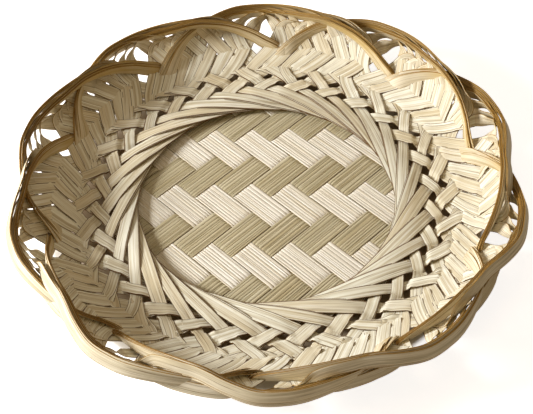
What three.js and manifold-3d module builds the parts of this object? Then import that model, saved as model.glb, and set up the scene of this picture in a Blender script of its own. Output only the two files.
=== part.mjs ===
// A round bamboo fruit basket: a twill mat in the middle, thirty pairs of side splints that run
// past it from rim to rim as chords, and ten rim arches, each a tight bundle of splint ends.
// Millimetres, +Z up. The basket stands on its mat at z = 0, and its axis is the Z axis.

import * as THREE from 'three';
import { mergeVertices } from 'three/addons/utils/BufferGeometryUtils.js';
import Module from 'manifold-3d';

const wasm = await Module();
wasm.setup();

// Driving dimensions

const WINDOW_RADIUS = 60;        // clear circle of mat that shows inside the ring
const CLEARANCE = 0.3;           // gap between neighbouring pieces

const MAT_STRIPS = 10;           // in each of the two sets
const MAT_STRIPS_ACROSS = 9.41;  // how many strips of a set the clear circle shows
const MAT_STRIP_GAP = 0.5;       // between two neighbouring mat strips
const MAT_STRIP_THICKNESS = 0.5;
const MAT_MARGIN = 5.5;          // how far the mat reaches under the ring
const MAT_TURN = -45;            // degrees, the lie of the first set of strips
const MAT_SHIFT_FIRST = 0.34;    // share of a pitch that the first set is off centre
const MAT_SHIFT_SECOND = -0.1;   // the same for the second set

const SPLINT_PAIRS = 30;         // side splints, counted in pairs
const SPLINT_WIDTH = 5.5;        // one splint, and a pair where its two splints lie stacked
const PAIR_THICKNESS = 0.6;
const OPEN_PAIR_WIDTH = 11.6;    // a pair whose two splints lie side by side in the wall
const PAIR_GAP = 1.2;            // between two neighbouring pairs in the wall
const WEAVE_GAP = 0.4;           // between two pairs where they cross in the wall
const STEP_MARGIN = 0.1;         // a pair steps up or down this far clear of the one it crosses
const FLOAT_STEP = 6.5;          // the longest straight stretch of a pair that follows the wall
const FIRST_TAB = 6;             // the first crossing where the under half comes up over the other
const FIRST_TANGENT = 6;         // degrees, where the first pair touches the ring

const WALL_START_RADIUS = 70.5;  // the flat ring ends and the wall starts to rise
const WALL_TOP_RADIUS = 108.5;   // the trimmed upper edge of the woven wall
const WALL_RISE = 10.5;          // height gained from the ring to the upper edge
const WALL_CURL = 2.9;           // how late the rise comes: 1 is a straight cone

const ARCHES = 10;
const ARCH_START_ANGLE = 16.2;   // degrees, where the first arch leaves the weave
const ARCH_SPAN = 70;            // degrees that one arch reaches along the rim
const BUNDLE_WIDTH = 6.5;        // a splint end and the little that its neighbours stand off it
const BUNDLE_THICKNESS = 2.4;    // six splint ends, one on the other
const BUNDLE_FULLNESS = 2;       // added in mid arch, where six more ends join the first six
const ARCH_STEPS = 24;

// Worked out from the driving dimensions

const DEGREE = Math.PI / 180;
const matRadius = WINDOW_RADIUS + MAT_MARGIN;
const matStripPitch = 2 * WINDOW_RADIUS / MAT_STRIPS_ACROSS;
const matTop = 2 * MAT_STRIP_THICKNESS + CLEARANCE;
const chordRadius = WINDOW_RADIUS + SPLINT_WIDTH / 2;
const pairTurn = 2 * Math.PI / SPLINT_PAIRS;
const ringSlope = (PAIR_THICKNESS + CLEARANCE) / (2 * WINDOW_RADIUS * Math.tan(pairTurn / 2));
const ringReach = stackedReach();
const ringRise = ringSlope * ringReach;
const ringHeight = matTop + CLEARANCE + PAIR_THICKNESS / 2 + ringRise;
const weaveLevel = (PAIR_THICKNESS + WEAVE_GAP) / 2;
const wallHalf = weaveLevel + PAIR_THICKNESS / 2;

const splintMaterial = new THREE.MeshStandardMaterial({ color: 0xe6d6b0, roughness: 0.6, metalness: 0 });
const matLightMaterial = new THREE.MeshStandardMaterial({ color: 0xf0e6cf, roughness: 0.6, metalness: 0 });
const matDarkMaterial = new THREE.MeshStandardMaterial({ color: 0xc4b184, roughness: 0.65, metalness: 0 });
const archMaterial = new THREE.MeshStandardMaterial({ color: 0xd2b070, roughness: 0.55, metalness: 0 });

// Two neighbouring halves stop lying on each other where they have spread by a splint's width

function stackedReach() {
  const spread = SPLINT_WIDTH * (1 + Math.cos(pairTurn)) / 2 + chordRadius * (1 - Math.cos(pairTurn));
  return spread / Math.sin(pairTurn) * Math.cos(pairTurn / 2);
}

// The wall is a surface of revolution: flat under the ring, then curling up to the rim

function wallHeight(radius) {
  const along = (radius - WALL_START_RADIUS) / (WALL_TOP_RADIUS - WALL_START_RADIUS);
  return ringHeight + WALL_RISE * Math.max(0, along) ** WALL_CURL;
}

function wallSlope(radius) {
  const step = 0.01;
  return (wallHeight(radius + step) - wallHeight(radius - step)) / (2 * step);
}

// A point at a plan place, lifted off the wall's middle surface along its normal

function liftOffWall(x, y, lift) {
  const radius = Math.hypot(x, y);
  const tilt = Math.atan(wallSlope(radius));
  const inward = lift * Math.sin(tilt) / radius;
  return new THREE.Vector3(x - x * inward, y - y * inward, wallHeight(radius) + lift * Math.cos(tilt));
}

// A closed ribbon lofted through rows of four corners: inner low, outer low, outer high, inner high

function ribbonGeometry(rows, turnDiagonal = () => false) {
  const positions = rows.flat().flatMap((corner) => [corner.x, corner.y, corner.z]);
  const index = [];
  for (let i = 0; i < rows.length - 1; i++) {
    for (let side = 0; side < 4; side++) {
      const next = (side + 1) % 4;
      const [a, b, c, d] = [4 * i + side, 4 * i + next, 4 * i + 4 + next, 4 * i + 4 + side];
      const highFace = side === 2;
      if (turnDiagonal(i) !== highFace) {
        index.push(a, b, d, b, c, d);
      } else {
        index.push(a, b, c, a, c, d);
      }
    }
  }
  const last = 4 * (rows.length - 1);
  index.push(0, 2, 1, 0, 3, 2, last, last + 1, last + 2, last, last + 2, last + 3);
  const geometry = new THREE.BufferGeometry();
  geometry.setAttribute('position', new THREE.Float32BufferAttribute(positions, 3));
  geometry.setIndex(signedVolume(positions, index) > 0 ? index : index.reverse());
  return geometry;
}

function signedVolume(positions, index) {
  let volume = 0;
  const corner = (i) => new THREE.Vector3().fromArray(positions, 3 * i);
  for (let i = 0; i < index.length; i += 3) {
    volume += corner(index[i]).dot(corner(index[i + 1]).cross(corner(index[i + 2]))) / 6;
  }
  return volume;
}

// Side splints. A pair is a straight chord that touches the ring at s = 0. Its half with s > 0 lies on
// top of its neighbours in the ring, and its half with s < 0 lies below them. u is measured outwards
// from the pair's middle line.

function pairWidth(s) {
  const spread = 2 * Math.sin(pairTurn / 2) * Math.abs(s) - PAIR_GAP;
  return Math.min(OPEN_PAIR_WIDTH, Math.max(SPLINT_WIDTH, spread));
}

// Where the edge of the upper half (side -1 inner, 1 outer) meets an edge of the under half of the
// pair that is n places further round

function crossing(n, side, edge) {
  const turn = n * pairTurn;
  let low = 0;
  let high = 3 * WALL_TOP_RADIUS;
  for (let i = 0; i < 50; i++) {
    const s = (low + high) / 2;
    const u = chordRadius + side * pairWidth(s) / 2;
    const otherU = u * Math.cos(turn) + s * Math.sin(turn) - chordRadius;
    const otherS = s * Math.cos(turn) - u * Math.sin(turn);
    if (otherU < edge * pairWidth(otherS) / 2) {
      low = s;
    } else {
      high = s;
    }
  }
  return low;
}

// Where the edge of a half meets the trimmed upper edge of the wall

function trimmedEnd(side) {
  const u = chordRadius + side * OPEN_PAIR_WIDTH / 2;
  return Math.sqrt(WALL_TOP_RADIUS ** 2 - u ** 2);
}

// The upper half as rows of [inner s, outer s, lift]: over the others in the ring, then by turns
// under and over them in the wall. A float has rows along it, so that it follows the wall.

function upperHalfRows() {
  const sides = [-1, 1];
  const ends = sides.map(trimmedEnd);
  const leave = (n) => sides.map((side) => crossing(n, side, 1) + STEP_MARGIN);
  const reach = (n) => sides.map((side) => crossing(n, side, -1) - STEP_MARGIN);
  const fits = (places) => places.every((s, i) => s < ends[i] - PAIR_GAP);
  const rows = [[ringReach, ringReach, ringRise], [...leave(FIRST_TAB - 1), weaveLevel]];
  let level = -weaveLevel;
  let from = reach(FIRST_TAB);
  for (let n = FIRST_TAB; from; n++) {
    const next = fits(reach(n + 1)) ? reach(n + 1) : null;
    const to = next ? leave(n) : ends;
    const steps = Math.ceil(Math.max(...from.map((s, i) => to[i] - s)) / FLOAT_STEP);
    for (let step = 0; step <= steps; step++) {
      rows.push([...from.map((s, i) => s + (to[i] - s) * step / steps), level]);
    }
    level = -level;
    from = next;
  }
  return rows;
}

function sideSplintGeometry() {
  const upper = upperHalfRows();
  const lower = upper.map(([inner, outer, lift]) => [-inner, -outer, -lift]).reverse();
  const corner = (s, side, lift) => liftOffWall(chordRadius + side * pairWidth(s) / 2, s, lift);
  const rows = [...lower, ...upper].map(([inner, outer, lift]) => [
    corner(inner, -1, lift - PAIR_THICKNESS / 2),
    corner(outer, 1, lift - PAIR_THICKNESS / 2),
    corner(outer, 1, lift + PAIR_THICKNESS / 2),
    corner(inner, -1, lift + PAIR_THICKNESS / 2),
  ]);
  return ribbonGeometry(rows, (i) => i >= lower.length);
}

// Mat strips, in a 2/2 twill: each strip passes over two and under two of the other set

function toSolid(geometry) {
  const merged = mergeVertices(geometry.clone(), 1e-4);
  return new wasm.Manifold(new wasm.Mesh({
    numProp: 3,
    vertProperties: new Float32Array(merged.attributes.position.array),
    triVerts: new Uint32Array(merged.index.array),
  }));
}

function toGeometry(solid) {
  const mesh = solid.getMesh();
  const geometry = new THREE.BufferGeometry();
  geometry.setAttribute('position', new THREE.Float32BufferAttribute(mesh.vertProperties, 3));
  geometry.setIndex([...mesh.triVerts]);
  return geometry;
}

function matDisc() {
  const height = 10 * matTop;
  const disc = new THREE.CylinderGeometry(matRadius, matRadius, height, 72);
  disc.deleteAttribute('normal');
  disc.deleteAttribute('uv');
  disc.rotateX(Math.PI / 2);
  return toSolid(disc);
}

// Strips are numbered from the middle of the mat, half of them below zero

function stripNumbers() {
  return Array.from({ length: MAT_STRIPS }, (_, i) => i - MAT_STRIPS / 2);
}

function matStripGeometry(number, shift, otherShift, isHigh, lay) {
  const width = matStripPitch - MAT_STRIP_GAP;
  const middle = (number + shift + 0.5) * matStripPitch;
  const low = MAT_STRIP_THICKNESS / 2;
  const high = matTop - MAT_STRIP_THICKNESS / 2;
  const reach = Math.ceil(matRadius / matStripPitch) + 1;
  const rows = [];
  let wasHigh = null;
  for (let other = -reach; other <= reach; other++) {
    const nowHigh = isHigh(number, other);
    const edge = (other + otherShift) * matStripPitch;
    if (nowHigh !== wasHigh && wasHigh !== null) {
      rows.push([edge - MAT_STRIP_GAP / 2, wasHigh ? high : low], [edge + MAT_STRIP_GAP / 2, nowHigh ? high : low]);
    } else if (other === -reach || other === reach) {
      rows.push([edge, nowHigh ? high : low]);
    }
    wasHigh = nowHigh;
  }
  const half = MAT_STRIP_THICKNESS / 2;
  const solid = toSolid(ribbonGeometry(rows.map(([along, z]) => [
    lay(along, middle - width / 2, z - half),
    lay(along, middle + width / 2, z - half),
    lay(along, middle + width / 2, z + half),
    lay(along, middle - width / 2, z + half),
  ])));
  return toGeometry(solid.intersect(matDisc()));
}

// Rim arches. An arch leaves the weave inside the wall, rises over the rim behind the arch before it,
// and comes down again inside the arch after it. Its route is given on the wall: share of the span,
// inset from the wall's upper edge, lift off the wall, and degrees that the bundle stands up from it.

const archSeat = wallHalf + 2 * CLEARANCE + BUNDLE_THICKNESS / 2;
const ARCH_ROUTE = [
  [0, 11, archSeat, 0],
  [0.15, -0.8, archSeat + CLEARANCE, 0],
  [0.25, -5.2, 0.6, 34],
  [0.34, -6.5, -1.2, 54],
  [0.49, -6.7, -2.4, 65],
  [0.62, -6.4, 4.6, 50],
  [0.69, -3.5, 9.3, 37],
  [0.78, -1.4, 9.1, 34],
  [0.88, 1, 7.3, 28],
  [1, 9.5, archSeat, 0],
];
const routeCurve = new THREE.CatmullRomCurve3(ARCH_ROUTE.map(([, inset, lift, lean]) => {
  return new THREE.Vector3(inset, lift, lean);
}));

// Place and facing of the bundle at a share of its span

function archFrame(share) {
  const knots = ARCH_ROUTE.map(([knot]) => knot);
  const i = Math.min(knots.length - 2, knots.filter((knot) => knot <= share).length - 1);
  const along = (share - knots[i]) / (knots[i + 1] - knots[i]);
  const { x: inset, y: lift, z: stand } = routeCurve.getPoint((i + along) / (knots.length - 1));
  const angle = -share * ARCH_SPAN * DEGREE;
  const radius = WALL_TOP_RADIUS - inset;
  const lean = Math.atan(wallSlope(radius)) + stand * DEGREE;
  const place = liftOffWall(radius * Math.cos(angle), radius * Math.sin(angle), lift);
  const inward = -Math.sin(lean);
  const facing = new THREE.Vector3(inward * Math.cos(angle), inward * Math.sin(angle), Math.cos(lean));
  return { place, facing };
}

function archGeometry() {
  const rows = [];
  const step = 0.002;
  for (let i = 0; i <= ARCH_STEPS; i++) {
    const share = i / ARCH_STEPS;
    const { place, facing } = archFrame(share);
    const [before, after] = [Math.max(0, share - step), Math.min(1, share + step)];
    const ahead = archFrame(after).place.sub(archFrame(before).place).normalize();
    const across = new THREE.Vector3().crossVectors(ahead, facing).normalize();
    const through = new THREE.Vector3().crossVectors(across, ahead);
    const thickness = BUNDLE_THICKNESS + BUNDLE_FULLNESS * Math.sin(share * Math.PI) ** 4;
    const corner = (w, t) => place.clone()
      .addScaledVector(across, w * BUNDLE_WIDTH / 2)
      .addScaledVector(through, t * thickness / 2);
    rows.push([corner(-1, -1), corner(1, -1), corner(1, 1), corner(-1, 1)]);
  }
  return ribbonGeometry(rows);
}

// Assembly

function named(name, geometry, material, turn = 0) {
  const mesh = new THREE.Mesh(geometry, material);
  mesh.name = name;
  mesh.rotation.z = turn;
  return mesh;
}

function number(i) {
  return String(i + 1).padStart(2, '0');
}

const basket = new THREE.Group();

const mat = new THREE.Group();
mat.rotation.z = MAT_TURN * DEGREE;
const firstIsHigh = (first, second) => (((second - first) % 4) + 4) % 4 < 2;
stripNumbers().forEach((strip, i) => {
  const alongX = (along, across, z) => new THREE.Vector3(along, across, z);
  const geometry = matStripGeometry(strip, MAT_SHIFT_FIRST, MAT_SHIFT_SECOND, firstIsHigh, alongX);
  mat.add(named(`mat_strip_light_${number(i)}`, geometry, matLightMaterial));
});
stripNumbers().forEach((strip, i) => {
  const isHigh = (second, first) => !firstIsHigh(first, second);
  const alongY = (along, across, z) => new THREE.Vector3(across, along, z);
  const geometry = matStripGeometry(strip, MAT_SHIFT_SECOND, MAT_SHIFT_FIRST, isHigh, alongY);
  mat.add(named(`mat_strip_dark_${number(i)}`, geometry, matDarkMaterial));
});
basket.add(mat);

const sideSplint = sideSplintGeometry();
for (let i = 0; i < SPLINT_PAIRS; i++) {
  const turn = FIRST_TANGENT * DEGREE + i * pairTurn;
  basket.add(named(`side_splint_${number(i)}`, sideSplint, splintMaterial, turn));
}

const arch = archGeometry();
for (let i = 0; i < ARCHES; i++) {
  const turn = ARCH_START_ANGLE * DEGREE + i * 2 * Math.PI / ARCHES;
  basket.add(named(`rim_arch_${number(i)}`, arch, archMaterial, turn));
}

export default basket;
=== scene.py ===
"""A round woven bamboo basket: twill mat, side splints and rim arches, dressed for rendering.

Sizes inside the builders are millimetres in the frame's own axes, and every mesh is scaled to metres
when it is finished. Angles are degrees unless a name says otherwise.
"""

import math
import random

import bmesh
import bpy
from bpy.props import FloatProperty, FloatVectorProperty, IntProperty, PointerProperty
from mathutils import Matrix, Vector, noise


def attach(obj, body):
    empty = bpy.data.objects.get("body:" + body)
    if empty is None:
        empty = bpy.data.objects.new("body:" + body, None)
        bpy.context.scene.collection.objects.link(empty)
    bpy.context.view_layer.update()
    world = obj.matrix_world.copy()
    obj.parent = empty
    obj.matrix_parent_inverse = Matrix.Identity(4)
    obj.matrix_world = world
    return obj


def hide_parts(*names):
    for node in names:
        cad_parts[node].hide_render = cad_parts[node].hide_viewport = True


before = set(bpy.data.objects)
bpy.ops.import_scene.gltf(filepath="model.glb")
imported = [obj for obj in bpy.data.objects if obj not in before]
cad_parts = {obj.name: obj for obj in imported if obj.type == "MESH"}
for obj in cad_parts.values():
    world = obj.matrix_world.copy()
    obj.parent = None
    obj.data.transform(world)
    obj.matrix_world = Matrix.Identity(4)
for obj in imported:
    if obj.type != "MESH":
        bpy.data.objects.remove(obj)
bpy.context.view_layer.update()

bl_info = {
    "name": "Bamboo basket",
    "version": (1, 0, 0),
    "blender": (4, 5, 0),
    "location": "View3D > Sidebar > Basket",
    "description": "Weaves a round bamboo basket from mat strips, side splints and rim bundles",
    "category": "Add Mesh",
}

MM = 0.001
BODY = "root"

# Sizes of the frame, the same as in the part's source; the first is the circle of mat that shows

WINDOW_RADIUS = 60.0
FRAME_SPLINT_WIDTH = 5.5
CHORD_RADIUS = WINDOW_RADIUS + FRAME_SPLINT_WIDTH / 2
SPLINT_GROUPS = 30
GROUP_TURN = 360 / SPLINT_GROUPS
FIRST_TANGENT = 6.0
RING_HEIGHT = 4.23
WALL_START_RADIUS = 70.5
WALL_TOP_RADIUS = 108.5
WALL_RISE = 10.5
WALL_CURL = 2.9
ARCHES = 10
ARCH_TURN = 360 / ARCHES
ARCH_START_ANGLE = 16.2
MAT_RADIUS = 65.4
MAT_STRIPS = 10
MAT_PITCH = 2 * WINDOW_RADIUS / 9.41
MAT_TURN = -45.0
MAT_SHIFTS = (0.34, -0.1)
MAT_LOW = 0.33
MAT_HIGH = 1.1

# Where the middle of a rim bundle runs: degrees from its start, radius, height, and how far its
# splints stand up from lying flat

BUNDLE_ROUTE = [
    (-5, 92.0, 3.8, 20),
    (-2, 94.4, 4.7, 25),
    (0, 96.2, 6.6, 38),
    (2, 98.2, 9.1, 56),
    (4, 100.5, 11.2, 70),
    (6, 102.9, 12.4, 76),
    (9, 106.1, 14.1, 83),
    (12, 108.9, 15.7, 90),
    (15, 111.1, 17.4, 97),
    (18, 112.8, 18.7, 103),
    (21, 114.1, 19.6, 108),
    (24, 115.3, 20.1, 112),
    (27, 116.3, 20.2, 114),
    (30, 116.8, 20.1, 115),
    (36, 116.7, 20.3, 116),
    (42, 113.9, 21.9, 117),
    (48, 110.4, 23.2, 118),
    (54, 108.5, 22.3, 117),
    (60, 106.7, 19.7, 111),
    (66, 104.0, 15.3, 99),
    (69, 102.3, 12.4, 91),
    (72, 100.9, 9.7, 78),
    (74, 100.0, 7.4, 52),
    (76, 99.2, 6.1, 32),
    (78, 98.4, 5.5, 25),
]

# How many splints each group has, gone through twice round the basket, and how wide a splint is by the
# size of its group, against the average

GROUP_SIZES = (3, 2, 3, 3, 2, 2, 3, 2, 3, 2, 3, 2, 2, 3, 3)
SHARE_OF_WIDTH = {2: 1.15, 3: 0.94}

# How the upper half of a splint lies in the ring: distance along it, lift, sideways tilt

RING_LIFT = [
    (0, 0, 0), (10, 0.72, 0.02), (20, 1.43, 0.08), (28, 1.42, 0.17), (33, 1.18, 0.2), (38, 0.58, 0.1),
    (40.6, 0.02, 0.03), (43, -0.42, 0),
]

# How far neighbouring splints of a group have spread, by distance along them: on the half that lies
# on top in the ring, and on the other half

SPREAD_TOP = [
    (0, 0.3), (34, 0.3), (42, 0.12), (57, 0.16), (62, 0.8), (66, 2.6), (71, 4.4), (78, 5.2), (92, 6.1),
]
SPREAD_UNDER = [
    (0, 0.3), (34, 0.3), (42, 0.12), (48, 0.16), (53, 0.9), (60, 3.1), (66, 4.4), (78, 5.3), (92, 6.1),
]

# The rows of the weave: where the splints change places between two of them, in groups crossed, and over
# what length, how uneven the rows are, and where and over what length the weave gets flatter and ends

ROW_CHANGES = (6, 7, 8)
CHANGE_LENGTH = 3.4
UNEVEN_ROWS = 4.5
UNEVEN_LENGTH = 9
FLATTER = (56, 12)
WEAVE_END = (84.5, 5)

# Degrees at which the splint ends of a bundle begin and end, how far they stand up where they leave the
# wall, and how far the clockwise ones keep outside and above the place where they left it

ARCH_BEGIN = -2.6
ARCH_END = 76.0
LAST_LEAVE = 71
LEAVING_STAND = 38.7
STEP_OUT = 4.4
STEP_UP = 1.3

# The weave parts where a bundle's end crosses the next bundle's start, which leaves a window: where its
# middle is, how far and along what length the two halves of the splints are pushed aside, and how far off
# a splint still is

WINDOW_PLACE = 33.0
WINDOW_MIDDLE = 104.0
PUSH_TOP = (9.5, 15.0)
PUSH_UNDER = (5.0, 12.0)
PUSH_REACH = 13

# How a group's splints lie off its middle line, in lengths along them: how far apart they are at their
# middle and over what length they settle, how far one sways there and over what length that ends, and how
# far one drifts in the ring, how much further in the rows, and over what length

MIDDLE_SPREAD = 0.2
SETTLE_LENGTH = 30
SWAY = 0.3
SWAY_LENGTH = 60
RING_DRIFT = 0.12
ROW_DRIFT = 0.4
DRIFT_LENGTH = 45

# Where the ring gives way to the rows, where the rows get uneven and where they open, each with the length
# over which that comes, and how much wider the splints are out there

RING_END = (38, 6)
ROWS_UNEVEN = (52, 8)
ROWS_OPEN = (52, 15)
WIDER_FROM = (62, 12)
WIDER_BY = 0.16

# Degrees at which the two halves of a bundle have come together and at which they part, each with the
# length over which that comes, by how many layers each half then stands off the middle, and how far the
# layers are pressed together at the bundle's two ends

TOGETHER = (17, 11)
APART = (43, 9)
HALF_LAYERS = 4
END_PRESS = 0.6

# Degrees over which a splint that leaves the wall turns on edge, a counter-clockwise one reaches the bundle
# and a clockwise one steps out and up; where the first kind has joined at the latest, between which degrees
# the other kind comes up and at least how fast, and how far it then stands up at the least

TURN_LENGTH = 3.5
REACH_LENGTH = 2.7
STEP_OUT_LENGTH = 2.3
STEP_UP_LENGTH = 0.7
LAST_JOIN = 50
COME_UP = (18, 26)
SHORTEST_COME_UP = 5
LEAST_STAND = 114

# Slivers of a mat strip: their shares of its width, how much sooner or later than the others one changes
# level, how far up or down it lies, how far it drifts, and half the line between two; then how near the
# mat's edge a sliver may be, half the length over which it changes level, and the length of its steps

SLIVER_SHARES = (0.55, 1.45)
SLIVER_EARLY = 0.22
SLIVER_DROP = 0.04
SLIVER_DRIFT = 0.05
SLIVER_LINE = 0.035
MAT_MARGIN = 3
LEVEL_CHANGE = 1.3
MAT_STEP = 1.3

# Cross-sections of a splint and of a mat sliver, as shares of half the width and half the thickness

PROFILE = [
    (-1.0, -0.55), (-0.94, -1.0), (0.0, -1.1), (0.94, -1.0), (1.0, -0.55),
    (1.0, 0.55), (0.94, 1.0), (0.45, 1.22), (-0.45, 1.22), (-0.94, 1.0), (-1.0, 0.55),
]
SLIVER_PROFILE = [
    (-1.0, -1.0), (1.0, -1.0), (1.0, 0.4), (0.8, 0.9), (0.0, 1.25), (-0.8, 0.9), (-1.0, 0.4),
]

# The texture map and the layer of tones on each mesh, how much of the map a millimetre takes up, within
# what distance two points of a mesh are one, and from what angle on an edge stays sharp

FIBRE_MAP = "Fibre"
TONE_LAYER = "Bamboo"
MAP_PER_MM = 0.01
MERGE_DISTANCE = 1e-5
SHARP_ANGLE = 38


def linear(code):
    """A colour written as sRGB hex digits, as linear values."""
    values = [int(code[i:i + 2], 16) / 255 for i in (0, 2, 4)]
    return tuple(v / 12.92 if v < 0.04045 else ((v + 0.055) / 1.055) ** 2.4 for v in values)


class BasketMatSettings(bpy.types.PropertyGroup):
    """Sizes and colours of the mat."""
    gap: FloatProperty(
        name="Strip gap", description="Gap between two neighbouring mat strips",
        default=0.0004, min=0.0, unit="LENGTH")
    sliver_width: FloatProperty(
        name="Sliver width", description="Average width of the slivers that a strip is made of",
        default=0.0014, min=0.0005, unit="LENGTH")
    thickness: FloatProperty(
        name="Thickness", description="Thickness of a mat strip",
        default=0.00046, min=0.0001, unit="LENGTH")
    light_color: FloatVectorProperty(
        name="Light strips", description="Colour of the first set of strips",
        subtype="COLOR", min=0, max=1, default=linear("F8F3E8"))
    dark_color: FloatVectorProperty(
        name="Dark strips", description="Colour of the second set of strips",
        subtype="COLOR", min=0, max=1, default=linear("CFC7AB"))


class BasketSplintSettings(bpy.types.PropertyGroup):
    """Sizes and colours of the side splints."""
    width: FloatProperty(
        name="Width", description="Width of one splint",
        default=0.0057, min=0.001, unit="LENGTH")
    thickness: FloatProperty(
        name="Thickness", description="Thickness of one splint",
        default=0.00022, min=0.0001, unit="LENGTH")
    color: FloatVectorProperty(
        name="Face", description="Colour of a splint's face",
        subtype="COLOR", min=0, max=1, default=linear("FAF4E2"))
    # The dark cut-edge colour is partly the edges' own colour and partly painted shade: it draws the dark
    # lines between splints
    edge_color: FloatVectorProperty(
        name="Edge", description="Colour of a splint's cut edges",
        subtype="COLOR", min=0, max=1, default=linear("6A4C22"))


class BasketArchSettings(bpy.types.PropertyGroup):
    """Sizes and colours of the rim bundles."""
    spacing: FloatProperty(
        name="Spacing", description="Distance between neighbouring splints in a bundle",
        default=0.0003, min=0.0001, unit="LENGTH")
    stagger: FloatProperty(
        name="Stagger", description="How far the splints of a bundle stand off each other edgewise",
        default=0.0008, min=0.0, unit="LENGTH")
    steps: IntProperty(
        name="Steps", description="Steps along one splint end", default=64, min=8, max=200)
    color: FloatVectorProperty(
        name="Face", description="Colour of the faces that look outward",
        subtype="COLOR", min=0, max=1, default=linear("E6DEC8"))
    edge_color: FloatVectorProperty(
        name="Edge", description="Colour of the cut edges that show on top of a bundle",
        subtype="COLOR", min=0, max=1, default=linear("A2803E"))


class BasketStageSettings(bpy.types.PropertyGroup):
    """Floor, light and camera."""
    floor_color: FloatVectorProperty(
        name="Floor", description="Colour of the floor",
        subtype="COLOR", min=0, max=1, default=(0.8, 0.78, 0.74))
    # Painted shadow: the floor right under the basket is coloured dark brown, as if in the basket's shade
    painted_shadow_color: FloatVectorProperty(
        name="Floor underneath", description="Colour of the floor right under the basket",
        subtype="COLOR", min=0, max=1, default=(0.42, 0.32, 0.21))
    key_power: FloatProperty(
        name="Key lamp", description="Power of the main lamp", default=15.7, min=0, unit="POWER")
    fill_power: FloatProperty(
        name="Top lamp", description="Power of the lamp overhead", default=1.05, min=0, unit="POWER")
    sky_strength: FloatProperty(
        name="Sky", description="Strength of the light from all round", default=0.2, min=0)


# Mesh building

def blend(a, b, share):
    return a + (b - a) * share


def smooth(x):
    x = min(1.0, max(0.0, x))
    return x * x * (3 - 2 * x)


def rise(x, start, length):
    """0 up to the start, 1 past the length, and smooth between them."""
    return smooth((x - start) / length)


def along_route(route, t):
    """A smooth curve through the rows of a route, whose first column is where they are."""
    t = min(route[-1][0], max(route[0][0], t))
    i = max(j for j in range(len(route) - 1) if route[j][0] <= t)
    a, b = route[i], route[i + 1]
    span = b[0] - a[0]
    x = (t - a[0]) / span
    before = route[i - 1] if i > 0 else a
    after = route[i + 2] if i + 2 < len(route) else b
    result = []
    for column in range(1, len(a)):
        slope_a = (b[column] - before[column]) / (b[0] - before[0])
        slope_b = (after[column] - a[column]) / (after[0] - a[0])
        h = x * x * (3 - 2 * x)
        result.append(a[column] + (b[column] - a[column]) * h
                      + span * slope_a * x * (1 - x) ** 2 - span * slope_b * x * x * (1 - x))
    return result


def wall_height(radius):
    along = max(0.0, (radius - WALL_START_RADIUS) / (WALL_TOP_RADIUS - WALL_START_RADIUS))
    return RING_HEIGHT + WALL_RISE * along ** WALL_CURL


def wall_slope(radius):
    step = 0.01
    return (wall_height(radius + step) - wall_height(radius - step)) / (2 * step)


def off_wall(x, y, lift):
    """A point at a plan place, lifted off the wall's middle surface along its normal."""
    radius = math.hypot(x, y)
    tilt = math.atan(wall_slope(radius))
    inward = lift * math.sin(tilt) / radius
    return Vector((x - x * inward, y - y * inward, wall_height(radius) + lift * math.cos(tilt)))


class Frame:
    """One cross-section of a ribbon: where it is, how it lies and what its texture reads there. It also
    holds how much
    of the inner colour its upper face has: the bamboo's golden inner face, partly painted shade."""

    def __init__(self, place, across, facing, half_width, half_thick, along, inner_shade=0.0):
        self.place = place
        self.across = across
        self.facing = facing
        self.half_width = half_width
        self.half_thick = half_thick
        self.along = along
        self.inner_shade = inner_shade


def add_ribbon(bm, frames, profile, tone):
    """A closed ribbon: a grid wrapped round the profile at each frame, with its two ends filled."""
    rows = len(frames) - 1
    columns = len(profile)
    verts = bmesh.ops.create_grid(bm, x_segments=rows, y_segments=columns, size=1.0)["verts"]
    uv_layer = bm.loops.layers.uv[FIBRE_MAP]
    tone_layer = bm.loops.layers.float_color[TONE_LAYER]
    spot = {}
    for v in verts:
        spot[v] = (round((v.co.x + 1) / 2 * rows), round((v.co.y + 1) / 2 * columns))
    faces = {face for v in verts for face in v.link_faces}
    for face in faces:
        columns_here = [spot[v][1] for v in face.verts]
        first = min(columns_here)
        corner, next_corner = profile[first], profile[(first + 1) % columns]
        side = 1.0 if abs(corner[0] - next_corner[0]) < 0.1 else 0.0
        upper = 1.0 if corner[1] + next_corner[1] > 0 else 0.0
        for loop in face.loops:
            i, j = spot[loop.vert]
            shape = profile[j % columns]
            cross = frames[i]
            loop[uv_layer].uv = (cross.along * MAP_PER_MM, shape[0] * cross.half_width * MAP_PER_MM)
            loop[tone_layer] = (tone, (shape[0] + 1) / 2, side, cross.inner_shade * upper)
    for v, (i, j) in spot.items():
        cross = frames[i]
        shape = profile[j % columns]
        v.co = (cross.place + cross.across * (shape[0] * cross.half_width)
                + cross.facing * (shape[1] * cross.half_thick))
    bmesh.ops.remove_doubles(bm, verts=verts, dist=MERGE_DISTANCE)
    rim = [e for e in {e for face in faces if face.is_valid for e in face.edges} if e.is_boundary]
    filled = bmesh.ops.holes_fill(bm, edges=rim, sides=0)["faces"]
    for face in filled:
        for loop in face.loops:
            near = next(other for other in loop.vert.link_loops if other.face not in filled)
            loop[uv_layer].uv = near[uv_layer].uv
            loop[tone_layer] = (tone, near[tone_layer][1], 1.0, near[tone_layer][3])


def new_bmesh():
    bm = bmesh.new()
    bm.loops.layers.uv.new(FIBRE_MAP)
    bm.loops.layers.float_color.new(TONE_LAYER)
    return bm


def finish_piece(bm, name, material, slot, *nodes):
    """Turns a bmesh in millimetres into a piece that rides on the basket and stands for its nodes."""
    bmesh.ops.recalc_face_normals(bm, faces=bm.faces)
    bmesh.ops.scale(bm, vec=(MM, MM, MM), verts=bm.verts)
    mesh = bpy.data.meshes.new(name)
    bm.to_mesh(mesh)
    bm.free()
    mesh.shade_smooth()
    mesh.set_sharp_from_angle(angle=math.radians(SHARP_ANGLE))
    mesh.materials.append(material)
    piece = bpy.data.objects.new(name, mesh)
    bpy.context.scene.collection.objects.link(piece)
    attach(piece, BODY)
    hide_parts(*nodes)
    return piece


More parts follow.
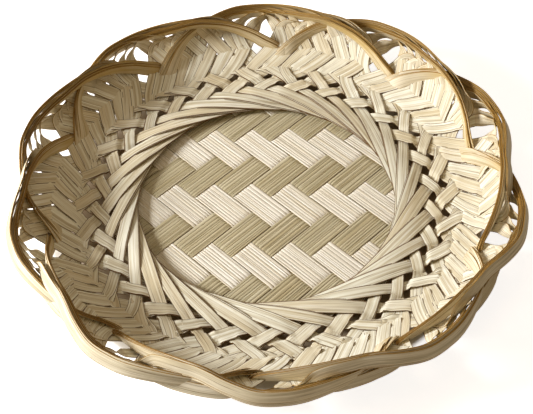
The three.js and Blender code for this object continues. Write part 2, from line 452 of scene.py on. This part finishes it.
def wander(seed, along, size, length):
    """A slow sideways drift along a strip, the same each run."""
    return size * noise.noise(Vector((along / length, seed * 7.31, seed * 1.7)))


# Shader building

class Wire:
    """A shader socket that can be used in sums."""

    def __init__(self, graph, socket):
        self.graph = graph
        self.socket = socket

    def __add__(self, other):
        return self.graph.math("ADD", self, other)

    __radd__ = __add__

    def __sub__(self, other):
        return self.graph.math("SUBTRACT", self, other)

    def __rsub__(self, other):
        return self.graph.math("SUBTRACT", other, self)

    def __mul__(self, other):
        return self.graph.math("MULTIPLY", self, other)

    __rmul__ = __mul__


class Graph:
    """The node tree of one material or of the world."""

    def __init__(self, owner):
        owner.use_nodes = True
        self.tree = owner.node_tree
        self.tree.nodes.clear()

    def add(self, kind, settings=None, values=None, output=0):
        """A node of a kind: its settings first, then the values or links of its sockets. Sockets are given
        by name or number."""
        node = self.tree.nodes.new(kind)
        for key, value in (settings or {}).items():
            setattr(node, key, value)
        for key, value in (values or {}).items():
            if isinstance(value, Wire):
                self.tree.links.new(value.socket, node.inputs[key])
            else:
                node.inputs[key].default_value = value
        return Wire(self, node.outputs[output])

    def outputs(self, count, kind, settings=None, values=None):
        """The first outputs of one node."""
        node = self.add(kind, settings, values).socket.node
        return [Wire(self, socket) for socket in node.outputs[:count]]

    def finish(self, kind, surface):
        """The output node, fed by a surface."""
        out = self.tree.nodes.new(kind)
        self.tree.links.new(surface.socket, out.inputs["Surface"])

    def math(self, operation, *terms):
        """An operation on numbers and sockets."""
        return self.add("ShaderNodeMath", {"operation": operation}, dict(enumerate(terms)))

    def mix(self, factor, first, second):
        """Two colours mixed. Of the node's sockets, 0, 6 and 7 take the factor and the colours."""
        first = (*first, 1) if isinstance(first, tuple) and len(first) == 3 else first
        second = (*second, 1) if isinstance(second, tuple) and len(second) == 3 else second
        return self.add(
            "ShaderNodeMix", {"data_type": "RGBA", "blend_type": "MIX", "clamp_factor": True},
            {0: factor, 6: first, 7: second}, output=2)

    def ramp(self, value, low, high, to_low=0.0, to_high=1.0):
        """A value brought from one range to another, smoothly and without leaving it."""
        return self.add(
            "ShaderNodeMapRange", {"interpolation_type": "SMOOTHSTEP", "clamp": True},
            {"Value": value, "From Min": low, "From Max": high, "To Min": to_low, "To Max": to_high})


def tinted(colour, factor):
    return tuple(min(1.0, c * f) for c, f in zip(colour, factor))


def bamboo_material(name, face, edge, groove, streak, line_share, bump, edge_shade=0.0, inner=None):
    """Split bamboo: fibres along the strip, strips that differ in tone, cut edges of another colour.
    A strip darkens along its two edges by the given amount, partly the cut edge's own colour and partly
    painted shade between strips. The inner colour is that of the faces that look into the basket's middle:
    the bamboo's golden inner face, partly painted shade."""
    material = bpy.data.materials.new(name)
    g = Graph(material)
    uv = g.add("ShaderNodeUVMap", {"uv_map": FIBRE_MAP})
    along, across = [
        axis * (1 / MAP_PER_MM) for axis in g.outputs(2, "ShaderNodeSeparateXYZ", {}, {"Vector": uv})]
    data, packed = g.outputs(2, "ShaderNodeVertexColor", {"layer_name": TONE_LAYER})
    tone, cross, side = g.outputs(3, "ShaderNodeSeparateColor", {}, {"Color": data})

    def fibres(long_scale, cross_scale, detail, rough=0.55, offset=0.0):
        where = g.add("ShaderNodeCombineXYZ", {}, {
            "X": along * long_scale + tone * 91.7,
            "Y": across * cross_scale + tone * 37.3 + offset,
            "Z": tone * 13.0})
        return g.add("ShaderNodeTexNoise", {"noise_dimensions": "3D"}, {
            "Vector": where, "Scale": 1.0, "Detail": detail, "Roughness": rough})

    coarse = fibres(0.012, 0.8, 2.0)
    fine = fibres(0.03, 2.1, 3.0, 0.7, 5.0)
    blotch = fibres(0.03, 0.1, 2.0, 0.5, 9.0)
    deep = tinted(face, (1 - 0.55 * streak, 1 - 0.62 * streak, 1 - 0.8 * streak))
    light = tinted(face, (1 + 0.2 * streak, 1 + 0.2 * streak, 1 + 0.24 * streak))
    colour = g.mix(g.ramp(coarse, 0.34, 0.66), deep, light)
    aged = g.ramp(tone, 0.1, 1.0, 0.0, 0.85) * g.ramp(blotch, 0.3, 0.75, 0.3, 1.0)
    colour = g.mix(aged, colour, tinted(face, (0.78, 0.7, 0.54)))
    colour = g.mix(g.ramp(fine, 0.52, 0.72, 0.0, line_share), colour, groove)
    colour = g.mix(g.ramp(fine, 0.46, 0.3, 0.0, line_share), colour, tinted(face, (1.2, 1.22, 1.26)))
    from_middle = g.math("ABSOLUTE", cross * 2 - 1)
    # Painted highlight: a lighter band near both edges of each strip and sliver, where light would catch the
    # rounded edges
    colour = g.mix(g.ramp(from_middle, 0.76, 0.88, 0.0, 0.5), colour, tinted(face, (1.2, 1.18, 1.12)))
    # Painted shade: the strip darkens towards the cut-edge colour along both edges, partly the edge's own
    # colour and partly shade between strips
    colour = g.mix(g.ramp(from_middle, 0.86, 0.96, 0.0, edge_shade), colour, edge)
    # Partly painted shade: the faces that look into the basket take a darker golden colour, in part the
    # bamboo's own inner face
    if inner:
        inner_shade_mask = packed * g.ramp(blotch, 0.3, 0.7, 0.35, 0.9)
        colour = g.mix(inner_shade_mask, colour, inner)
    dark_cut, light_cut = tinted(edge, (0.76, 0.68, 0.52)), tinted(edge, (1.12, 1.1, 1.05))
    colour = g.mix(side, colour, g.mix(g.ramp(coarse, 0.35, 0.7), dark_cut, light_cut))
    rough = g.ramp(fine, 0.2, 0.8, 0.42, 0.68)
    relief = g.add("ShaderNodeBump", {}, {
        "Strength": bump, "Distance": 0.0002, "Height": fine * 0.7 + coarse * 0.6})
    surface = g.add("ShaderNodeBsdfPrincipled", {}, {
        "Base Color": colour, "Roughness": rough, "Normal": relief, "Specular IOR Level": 0.35})
    g.finish("ShaderNodeOutputMaterial", surface)
    return material


# Mat

def strip_is_high(first, second):
    """Whether a strip of the first set passes over one of the second: over two, under two."""
    return (second - first) % 4 < 2


def strip_level(along, number, is_high, shift, jitter):
    """Height of a strip's middle at a distance along it."""
    level = MAT_HIGH if is_high(number, -MAT_STRIPS) else MAT_LOW
    for other in range(1 - MAT_STRIPS, MAT_STRIPS + 1):
        target = MAT_HIGH if is_high(number, other) else MAT_LOW
        if target == level:
            continue
        edge = (other + shift) * MAT_PITCH
        if along < edge - LEVEL_CHANGE:
            return level
        if along < edge + LEVEL_CHANGE:
            share = (along - edge - jitter + LEVEL_CHANGE) / (2 * LEVEL_CHANGE)
            return blend(level, target, smooth(share))
        level = target
    return level


def mat_strip(bm, settings, number, set_index, rng):
    """One mat strip, as slivers that lie side by side."""
    width = MAT_PITCH - settings.gap / MM
    shift = MAT_SHIFTS[set_index]
    other_shift = MAT_SHIFTS[1 - set_index]
    middle = (number + shift + 0.5) * MAT_PITCH
    count = max(3, round(width / (settings.sliver_width / MM)))
    shares = [rng.uniform(*SLIVER_SHARES) for _ in range(count)]
    total = sum(shares)
    left = middle - width / 2
    turn = Matrix.Rotation(math.radians(MAT_TURN), 3, "Z")
    strip_tone = rng.random()

    def is_high(own, other):
        return strip_is_high(own, other) if set_index == 0 else not strip_is_high(other, own)

    for share in shares:
        sliver = width * share / total
        side = left + sliver / 2
        left += sliver
        far = abs(side) + sliver / 2
        tone = strip_tone * 0.4 + rng.random() * 0.6
        jitter = rng.uniform(-SLIVER_EARLY, SLIVER_EARLY)
        drop = rng.uniform(-SLIVER_DROP, SLIVER_DROP)
        if far > MAT_RADIUS - MAT_MARGIN:
            continue
        end = math.sqrt(MAT_RADIUS ** 2 - far ** 2)
        steps = max(6, round(2 * end / MAT_STEP))
        places = []
        for i in range(steps + 1):
            along = -end + 2 * end * i / steps
            z = strip_level(along, number, is_high, other_shift, jitter) + drop
            drift = wander(tone * 9 + number, along, SLIVER_DRIFT, 30)
            spot = (along, side + drift, z) if set_index == 0 else (side + drift, along, z)
            places.append((turn @ Vector(spot), along))
        across = turn @ (Vector((0, 1, 0)) if set_index == 0 else Vector((1, 0, 0)))
        frames = path_frames(places, across, sliver / 2 - SLIVER_LINE, settings.thickness / MM / 2)
        add_ribbon(bm, frames, SLIVER_PROFILE, tone)


def path_frames(places, across, half_width, half_thick):
    """Frames along a path whose sideways direction stays the same."""
    frames = []
    for i, (place, along) in enumerate(places):
        before = places[max(0, i - 1)][0]
        after = places[min(len(places) - 1, i + 1)][0]
        ahead = (after - before).normalized()
        facing = across.cross(ahead).normalized()
        if facing.z < 0:
            facing = -facing
        frames.append(Frame(place, across, facing, half_width, half_thick, along))
    return frames


class BASKET_OT_mat(bpy.types.Operator):
    """Make the twill mat, each strip a row of slivers"""
    bl_idname = "basket.mat"
    bl_label = "Mat"

    def execute(self, context):
        settings = context.scene.basket_mat
        light = bamboo_material(
            "bamboo_light", tuple(settings.light_color), linear("A08A60"), linear("A39272"),
            streak=0.3, line_share=0.7, bump=0.5)
        dark = bamboo_material(
            "bamboo_khaki", tuple(settings.dark_color), linear("7A6438"), linear("7E6E4A"),
            streak=0.36, line_share=0.75, bump=0.5)
        for set_index, (word, material) in enumerate((("light", light), ("dark", dark))):
            for i in range(MAT_STRIPS):
                bm = new_bmesh()
                mat_strip(bm, settings, i - MAT_STRIPS // 2, set_index, random.Random(100 * set_index + i))
                finish_piece(bm, f"mat_{word}_{i + 1:02d}", material, f"mat_{word}",
                             f"mat_strip_{word}_{i + 1:02d}")
        return {"FINISHED"}


# Side splints

def crossing_reach(places):
    """Distance along a chord at which it crosses the chord so many places on."""
    return CHORD_RADIUS * math.tan(math.radians(places * GROUP_TURN / 2))


def upper_lift(s):
    """Lift and tilt of the half that lies on top in the ring, off the wall's middle surface."""
    if s < RING_LIFT[-1][0]:
        return along_route(RING_LIFT, s)
    level = RING_LIFT[-1][1]
    for places in ROW_CHANGES:
        middle = (crossing_reach(places) + crossing_reach(places + 1)) / 2
        level = blend(level, -level, smooth((s - middle) / CHANGE_LENGTH + 0.5))
    return level * (1 - 0.4 * rise(s, *FLATTER)) * (1 - rise(s, *WEAVE_END)), 0.0


class Splint:
    """One side splint: which group and place in it, and where its two ends leave the wall."""

    def __init__(self, group, member, settings):
        size = group_size(group)
        self.turn = math.radians(FIRST_TANGENT + group * GROUP_TURN)
        self.side = member - (size - 1) / 2
        self.spread = 3 / size
        self.seed = 3 * group + member + 1
        rng = random.Random(self.seed * 17)
        self.tone = rng.random()
        self.half_width = settings.width / MM / 2 * SHARE_OF_WIDTH[size] * rng.uniform(0.96, 1.04)
        self.half_thick = settings.thickness / MM / 2
        self.sway = rng.uniform(-SWAY, SWAY)
        self.windows = {sign: self.nearest_window(sign) for sign in (1, -1)}
        self.frames = self.wall_frames()

    def plain_shift(self, s):
        """Sideways place off the group's middle line."""
        reach = abs(s)
        route = SPREAD_TOP if s > 0 else SPREAD_UNDER
        opened = self.side * self.spread * math.copysign(1, s) * along_route(route, reach)[0]
        settle = smooth(reach / SETTLE_LENGTH)
        at_middle = self.side * MIDDLE_SPREAD * (1 - settle)
        sway = self.sway * (1 - smooth(reach / SWAY_LENGTH))
        drift = wander(self.seed, s, RING_DRIFT + ROW_DRIFT * rise(reach, *ROWS_OPEN), DRIFT_LENGTH) * settle
        return opened * settle + at_middle + sway + drift

    def nearest_window(self, sign):
        """The window nearest to one half of the splint: its place along and across it, and on which side of
        the window the splint goes by."""
        heading = sign * math.acos(CHORD_RADIUS / WINDOW_MIDDLE)
        turn = math.radians(ARCH_TURN)
        angle = math.radians(ARCH_START_ANGLE - WINDOW_PLACE) - self.turn - heading
        angle += heading - turn * round(angle / turn)
        along, across = WINDOW_MIDDLE * math.sin(angle), WINDOW_MIDDLE * math.cos(angle) - CHORD_RADIUS
        return along, across, math.copysign(1, self.plain_shift(along) - across)

    def shift(self, s):
        """The sideways place after the nearest window has pushed the splint aside."""
        plain_shift = self.plain_shift(s)
        along, across, side = self.windows[1 if s > 0 else -1]
        push, length = PUSH_TOP if s > 0 else PUSH_UNDER
        off = (plain_shift - across) * side
        clear = max(0.0, off)
        near = math.exp(-((s - along) / length) ** 2 - (clear / PUSH_REACH) ** 2)
        return plain_shift + side * near * (math.sqrt(clear ** 2 + push ** 2) - off)

    def point(self, s, shift):
        """A point of the splint. Outside the ring it rises and falls by its distance from the middle of
        the basket, so that each splint of a group weaves on its own. The rows of the weave aren't quite
        even, in the same way for both slants."""
        reach = abs(s)
        even = math.sqrt(max(0.0, (CHORD_RADIUS + shift) ** 2 + s * s - CHORD_RADIUS ** 2))
        flat = Matrix.Rotation(self.turn, 3, "Z") @ Vector((CHORD_RADIUS + shift, s, 0))
        even += UNEVEN_ROWS * noise.noise(flat / UNEVEN_LENGTH) * rise(even, *ROWS_UNEVEN)
        lift, tilt = upper_lift(blend(reach, even, rise(reach, *RING_END)))
        stacked = self.side * (0.24 - 0.08 * rise(reach, 34, 8) - 0.06 * rise(reach, 60, 22))
        lift = math.copysign(1, s) * (lift - tilt * shift) + stacked
        return off_wall(flat.x, flat.y, lift)

    def end_reach(self, sign):
        """Distance along the chord at which the splint leaves the wall."""
        reach = math.sqrt(WALL_TOP_RADIUS ** 2 - CHORD_RADIUS ** 2)
        for _ in range(6):
            u = CHORD_RADIUS + self.shift(sign * reach)
            reach = math.sqrt(WALL_TOP_RADIUS ** 2 - u ** 2)
        return reach

    def wall_frames(self):
        low = -self.end_reach(-1)
        high = self.end_reach(1)
        steps = 128
        distances = [blend(low, high, i / steps) for i in range(steps + 1)]
        shifts = [self.shift(s) for s in distances]
        places = [self.point(s, u) for s, u in zip(distances, shifts)]
        frames = []
        for i, (s, u, place) in enumerate(zip(distances, shifts, places)):
            ahead = (places[min(steps, i + 1)] - places[max(0, i - 1)]).normalized()
            sideways = self.point(s, u + 0.5) - self.point(s, u - 0.5)
            across = (sideways - ahead * sideways.dot(ahead)).normalized()
            half_width = self.half_width * (1 + WIDER_BY * rise(abs(s), *WIDER_FROM))
            frames.append(Frame(place, across, across.cross(ahead), half_width, self.half_thick, s))
        return frames


def group_size(group):
    """How many splints a group has: some have two and some three."""
    return GROUP_SIZES[group % len(GROUP_SIZES)]


def all_splints(context):
    settings = context.scene.basket_splint
    return [[Splint(group, member, settings) for member in range(group_size(group))]
            for group in range(SPLINT_GROUPS)]


class BASKET_OT_side_splints(bpy.types.Operator):
    """Make the side splints, which swirl round the mat and weave the wall"""
    bl_idname = "basket.side_splints"
    bl_label = "Side splints"

    def execute(self, context):
        settings = context.scene.basket_splint
        material = bamboo_material(
            "bamboo_splint", tuple(settings.color), tuple(settings.edge_color), linear("8A6E40"),
            streak=0.6, line_share=0.82, bump=0.5, edge_shade=0.95)
        for group, members in enumerate(all_splints(context)):
            bm = new_bmesh()
            for splint in members:
                add_ribbon(bm, splint.frames, PROFILE, splint.tone)
            finish_piece(bm, f"side_splints_{group + 1:02d}", material, "splint",
                         f"side_splint_{group + 1:02d}")
        return {"FINISHED"}


# Rim arches

def joint_layer(t, layer, outer):
    """The layer of a splint counted from the middle of the bundle. Layers are given as counted from the
    middle of its own half; the outer half is of counter-clockwise splints, the inner of clockwise ones."""
    joined = rise(t, *TOGETHER) if outer else 1 - rise(t, *APART)
    return layer + (-HALF_LAYERS if outer else HALF_LAYERS) * joined


def bundle_place(t, layer, outer, spacing):
    """Radius, height and stand of one splint in a bundle."""
    radius, height, stand = along_route(BUNDLE_ROUTE, t)
    offset = joint_layer(t, layer, outer) * spacing
    free = min(rise(t, -2.5, 4), smooth((ARCH_END + 0.5 - t) / 5))
    offset *= blend(END_PRESS, 1, free)
    tilt = math.radians(stand)
    return radius - math.sin(tilt) * offset, height + math.cos(tilt) * offset, stand


def outer_place(t, layer, leave, spacing):
    """A counter-clockwise splint: it comes up beside the bundle, turns on edge and joins its outer half."""
    past = leave[0] - t
    out = min(1.0, 1.012 * (1 - math.exp(-past / REACH_LENGTH)))
    target = bundle_place(min(t, LAST_JOIN), layer, True, spacing)
    return (blend(leave[1], target[0], out), blend(leave[2], target[1], out ** 1.5),
            blend(LEAVING_STAND, target[2], smooth(past / TURN_LENGTH)))


def inner_place(t, layer, leave, spacing):
    """A clockwise splint: it leaves the wall, stays under the bundle's start and comes up inside it."""
    past = t - leave[0]
    radius = leave[1] + STEP_OUT * (1 - math.exp(-past / STEP_OUT_LENGTH))
    height = leave[2] + STEP_UP * (1 - math.exp(-past / STEP_UP_LENGTH))
    start = max(leave[0], COME_UP[0])
    end = max(leave[0] + SHORTEST_COME_UP, COME_UP[1])
    settle = rise(t, start, end - start)
    target = bundle_place(t, layer, False, spacing)
    stand = blend(LEAVING_STAND, max(LEAST_STAND, target[2]), smooth(past / TURN_LENGTH))
    return (blend(radius, target[0], settle), blend(height, target[1], settle),
            blend(stand, target[2], settle))


class Strand:
    """The end of a splint beyond the wall: one of those that make up an arch."""

    def __init__(self, splint, hand):
        self.splint = splint
        self.hand = hand
        self.root = splint.frames[-1] if hand > 0 else splint.frames[0]
        place = self.root.place
        angle = math.degrees(math.atan2(place.y, place.x))
        t = (ARCH_START_ANGLE - angle) % ARCH_TURN
        if hand > 0 and t + ARCH_TURN < LAST_LEAVE:
            t += ARCH_TURN
        self.arch = round((t - ARCH_START_ANGLE + angle) / ARCH_TURN) % ARCHES
        self.leave = (t, math.hypot(place.x, place.y), place.z)

    def route(self, layer, settings):
        """The places from the wall to the tucked end, each with the way it faces and how much of the inner
        colour it takes, partly painted shade. The counter-clockwise ends dive into the weave one after the
        other, and are paler there."""
        spacing = settings.spacing / MM
        rng = random.Random(self.splint.seed * 31 + self.hand)
        end = ARCH_BEGIN + rng.uniform(-0.6, 0.8) if self.hand > 0 else ARCH_END + rng.uniform(-0.8, 0.6)
        stagger = settings.stagger / MM * rng.uniform(-1, 1)
        dive = rng.uniform(0, 4)
        steps = settings.steps
        rows = []
        for i in range(steps + 1):
            share = i / steps
            t = blend(self.leave[0], end, share ** 1.25)
            if self.hand > 0:
                sunk = t - dive * (1 - rise(t, 2, 12))
                radius, height, stand = outer_place(sunk, layer, self.leave, spacing)
            else:
                radius, height, stand = inner_place(t, layer, self.leave, spacing)
            angle = math.radians(ARCH_START_ANGLE + self.arch * ARCH_TURN - t)
            outward = Vector((math.cos(angle), math.sin(angle), 0))
            tilt = math.radians(stand)
            edgewise = outward * math.cos(tilt) + Vector((0, 0, math.sin(tilt)))
            facing = outward * -math.sin(tilt) + Vector((0, 0, math.cos(tilt)))
            fan = joint_layer(t, layer, self.hand > 0) * (0.12 + 0.1 * rise(abs(t - 36), 14, 8))
            sway = wander(self.splint.seed + 0.5, share * 90, 0.5, 30)
            slide = (stagger + sway - fan) * smooth(share / 0.12)
            place = outward * radius + Vector((0, 0, height)) + edgewise * slide
            pale = 0.65 * (1 - rise(t, 6, 10)) if self.hand > 0 else 0.0
            rows.append((place, facing, smooth(share / 0.3) * (1 - pale)))
        return rows

    def frames(self, layer, settings):
        """The cross-sections along the route. The first is the splint's last one in the wall."""
        rows = self.route(layer, settings)
        steps = settings.steps
        frames = []
        along = self.root.along
        for i, (place, facing, inner_shade) in enumerate(rows):
            before = rows[max(0, i - 1)][0]
            after = rows[min(steps, i + 1)][0]
            ahead = (after - before).normalized()
            facing = (facing - ahead * facing.dot(ahead)).normalized()
            across = ahead.cross(facing) if self.hand > 0 else facing.cross(ahead)
            if i:
                along += self.hand * (place - before).length
            joined = smooth(i / steps / 0.1)
            half_width = blend(self.root.half_width, self.splint.half_width * 0.95, joined)
            half_thick = self.splint.half_thick * (1 + 0.3 * joined)
            frames.append(Frame(place, across, facing, half_width, half_thick, along, inner_shade))
        frames[0] = self.root
        return frames


class BASKET_OT_rim_arches(bpy.types.Operator):
    """Make the rim arches, each a bundle of splint ends that run both ways"""
    bl_idname = "basket.rim_arches"
    bl_label = "Rim arches"

    def execute(self, context):
        settings = context.scene.basket_arch
        # The rim's inner colour is the bamboo's golden inner face, darkened in part as painted shade
        material = bamboo_material(
            "bamboo_rim", tuple(settings.color), tuple(settings.edge_color), linear("6E5226"),
            streak=0.46, line_share=0.86, bump=0.45, edge_shade=0.7, inner=linear("C2A460"))
        strands = [Strand(splint, hand) for members in all_splints(context)
                   for splint in members for hand in (1, -1)]
        for arch in range(ARCHES):
            outer = sorted((s for s in strands if s.arch == arch and s.hand > 0), key=lambda s: -s.leave[0])
            inner = sorted((s for s in strands if s.arch == arch and s.hand < 0), key=lambda s: s.leave[0])
            bm = new_bmesh()
            for ends in (outer, inner):
                if not 6 <= len(ends) <= 9:
                    raise RuntimeError(f"arch {arch + 1} has {len(ends)} ends of one hand, not 6 to 9")
                for i, strand in enumerate(ends):
                    frames = strand.frames(i - (len(ends) - 1) / 2, settings)
                    add_ribbon(bm, frames, PROFILE, strand.splint.tone)
            finish_piece(bm, f"rim_bundle_{arch + 1:02d}", material, "arch", f"rim_arch_{arch + 1:02d}")
        return {"FINISHED"}


# Stage

# The camera, as fitted to the photograph: its size and focal length in pixels, how far down its frame is
# moved, and the directions and place in the basket's axes

PHOTO_WIDTH = 533
FOCAL_LENGTH = 1169.3
FRAME_SHIFT = -4
CAMERA_RIGHT = (0.99982, -0.00150, -0.01871)
CAMERA_UP = (0.01332, 0.75930, 0.65061)
CAMERA_PLACE = (0.00729, -0.35840, 0.41962)
SENSOR_WIDTH = 36.0

# Distances from the middle at which the painted shadow on the floor under the basket fades out and at which
# the floor starts to be white for the camera, and how white it is

PAINTED_SHADOW_EDGE = (0.084, 0.104)
GLOW_EDGE = (0.1, 0.103)
GLOW = 0.82


def area_lamp(name, power, size, azimuth, elevation, distance, colour):
    """A square lamp that looks at the basket."""
    lamp = bpy.data.lights.new(name, "AREA")
    lamp.energy = power
    lamp.size = size
    lamp.color = colour
    lamp_object = bpy.data.objects.new(name, lamp)
    a, e = math.radians(azimuth), math.radians(elevation)
    toward = Vector((math.cos(a) * math.cos(e), math.sin(a) * math.cos(e), math.sin(e)))
    lamp_object.location = toward * distance
    lamp_object.rotation_euler = toward.to_track_quat("Z", "Y").to_euler()
    bpy.context.scene.collection.objects.link(lamp_object)


class BASKET_OT_stage(bpy.types.Operator):
    """Lay the floor, hang the lamps and set up the camera"""
    bl_idname = "basket.stage"
    bl_label = "Floor, light and camera"

    def execute(self, context):
        settings = context.scene.basket_stage
        scene = context.scene
        bm = bmesh.new()
        bmesh.ops.create_grid(bm, x_segments=1, y_segments=1, size=6.0)
        mesh = bpy.data.meshes.new("floor")
        bm.to_mesh(mesh)
        bm.free()
        floor = bpy.data.objects.new("floor", mesh)
        scene.collection.objects.link(floor)
        material = bpy.data.materials.new("floor_paper")
        g = Graph(material)
        spot = g.add("ShaderNodeTexCoord", output="Object")
        distance = g.add("ShaderNodeVectorMath", {"operation": "LENGTH"}, {0: spot}, output="Value")
        seen = g.add("ShaderNodeLightPath", output="Is Camera Ray")
        glow = g.ramp(distance, *GLOW_EDGE, 0.0, GLOW) * seen
        # Painted shadow: the floor is dark brown right under the basket and fades to its own colour further
        # out
        under = g.mix(
            g.ramp(distance, *PAINTED_SHADOW_EDGE), tuple(settings.painted_shadow_color), tuple(settings.floor_color))
        paper = g.add("ShaderNodeBsdfPrincipled", {}, {
            "Base Color": under, "Roughness": 0.9,
            "Emission Color": g.mix(glow, (0.0, 0.0, 0.0), (1.0, 1.0, 1.0)), "Emission Strength": 1.0})
        g.finish("ShaderNodeOutputMaterial", paper)
        mesh.materials.append(material)

        world = bpy.data.worlds.new("studio")
        scene.world = world
        g = Graph(world)
        seen = g.add("ShaderNodeLightPath", output="Is Camera Ray")
        glossy = g.add("ShaderNodeLightPath", output="Is Glossy Ray")
        sent = g.add("ShaderNodeLightPath", output="Is Transmission Ray")
        white = g.math("MAXIMUM", seen, g.math("MAXIMUM", glossy, sent))
        dim = g.add("ShaderNodeBackground", {}, {
            "Color": (1.0, 0.72, 0.39, 1), "Strength": settings.sky_strength})
        bright = g.add("ShaderNodeBackground", {}, {"Color": (1, 1, 1, 1), "Strength": 1.0})
        g.finish("ShaderNodeOutputWorld", g.add("ShaderNodeMixShader", {}, {0: white, 1: dim, 2: bright}))

        area_lamp("key", settings.key_power, size=0.3, azimuth=181, elevation=24, distance=1.0,
                  colour=(1.0, 0.995, 0.99))
        area_lamp("fill", settings.fill_power, size=0.6, azimuth=120, elevation=78, distance=1.1,
                  colour=(1.0, 0.82, 0.58))

        data = bpy.data.cameras.new("view")
        data.sensor_width = SENSOR_WIDTH
        data.lens = FOCAL_LENGTH / PHOTO_WIDTH * SENSOR_WIDTH
        data.shift_y = FRAME_SHIFT / PHOTO_WIDTH
        data.clip_start = 0.01
        camera = bpy.data.objects.new("view", data)
        right = Vector(CAMERA_RIGHT)
        up = Vector(CAMERA_UP)
        turn = Matrix((right, up, right.cross(up))).transposed().to_4x4()
        camera.matrix_world = Matrix.Translation(Vector(CAMERA_PLACE)) @ turn
        scene.collection.objects.link(camera)
        scene.camera = camera
        scene.view_settings.view_transform = "Standard"
        return {"FINISHED"}


class BASKET_PT_panel(bpy.types.Panel):
    """Lists the basket's pieces and its settings"""
    bl_idname = "BASKET_PT_panel"
    bl_label = "Bamboo basket"
    bl_space_type = "VIEW_3D"
    bl_region_type = "UI"
    bl_category = "Basket"

    def draw(self, context):
        for operator, group in (("basket.mat", "basket_mat"), ("basket.side_splints", "basket_splint"),
                                ("basket.rim_arches", "basket_arch"), ("basket.stage", "basket_stage")):
            box = self.layout.box()
            settings = getattr(context.scene, group)
            for name in settings.bl_rna.properties.keys():
                if name not in ("rna_type", "name"):
                    box.prop(settings, name)
            box.operator(operator)


SETTINGS = {
    "basket_mat": BasketMatSettings,
    "basket_splint": BasketSplintSettings,
    "basket_arch": BasketArchSettings,
    "basket_stage": BasketStageSettings,
}
CLASSES = (*SETTINGS.values(), BASKET_OT_mat, BASKET_OT_side_splints, BASKET_OT_rim_arches,
           BASKET_OT_stage, BASKET_PT_panel)


def register():
    for cls in CLASSES:
        bpy.utils.register_class(cls)
    for name, cls in SETTINGS.items():
        setattr(bpy.types.Scene, name, PointerProperty(type=cls))


def unregister():
    for name in SETTINGS:
        delattr(bpy.types.Scene, name)
    for cls in reversed(CLASSES):
        bpy.utils.unregister_class(cls)


def main():
    register()
    bpy.ops.basket.mat()
    bpy.ops.basket.side_splints()
    bpy.ops.basket.rim_arches()
    bpy.ops.basket.stage()


if __name__ == "__main__":
    main()
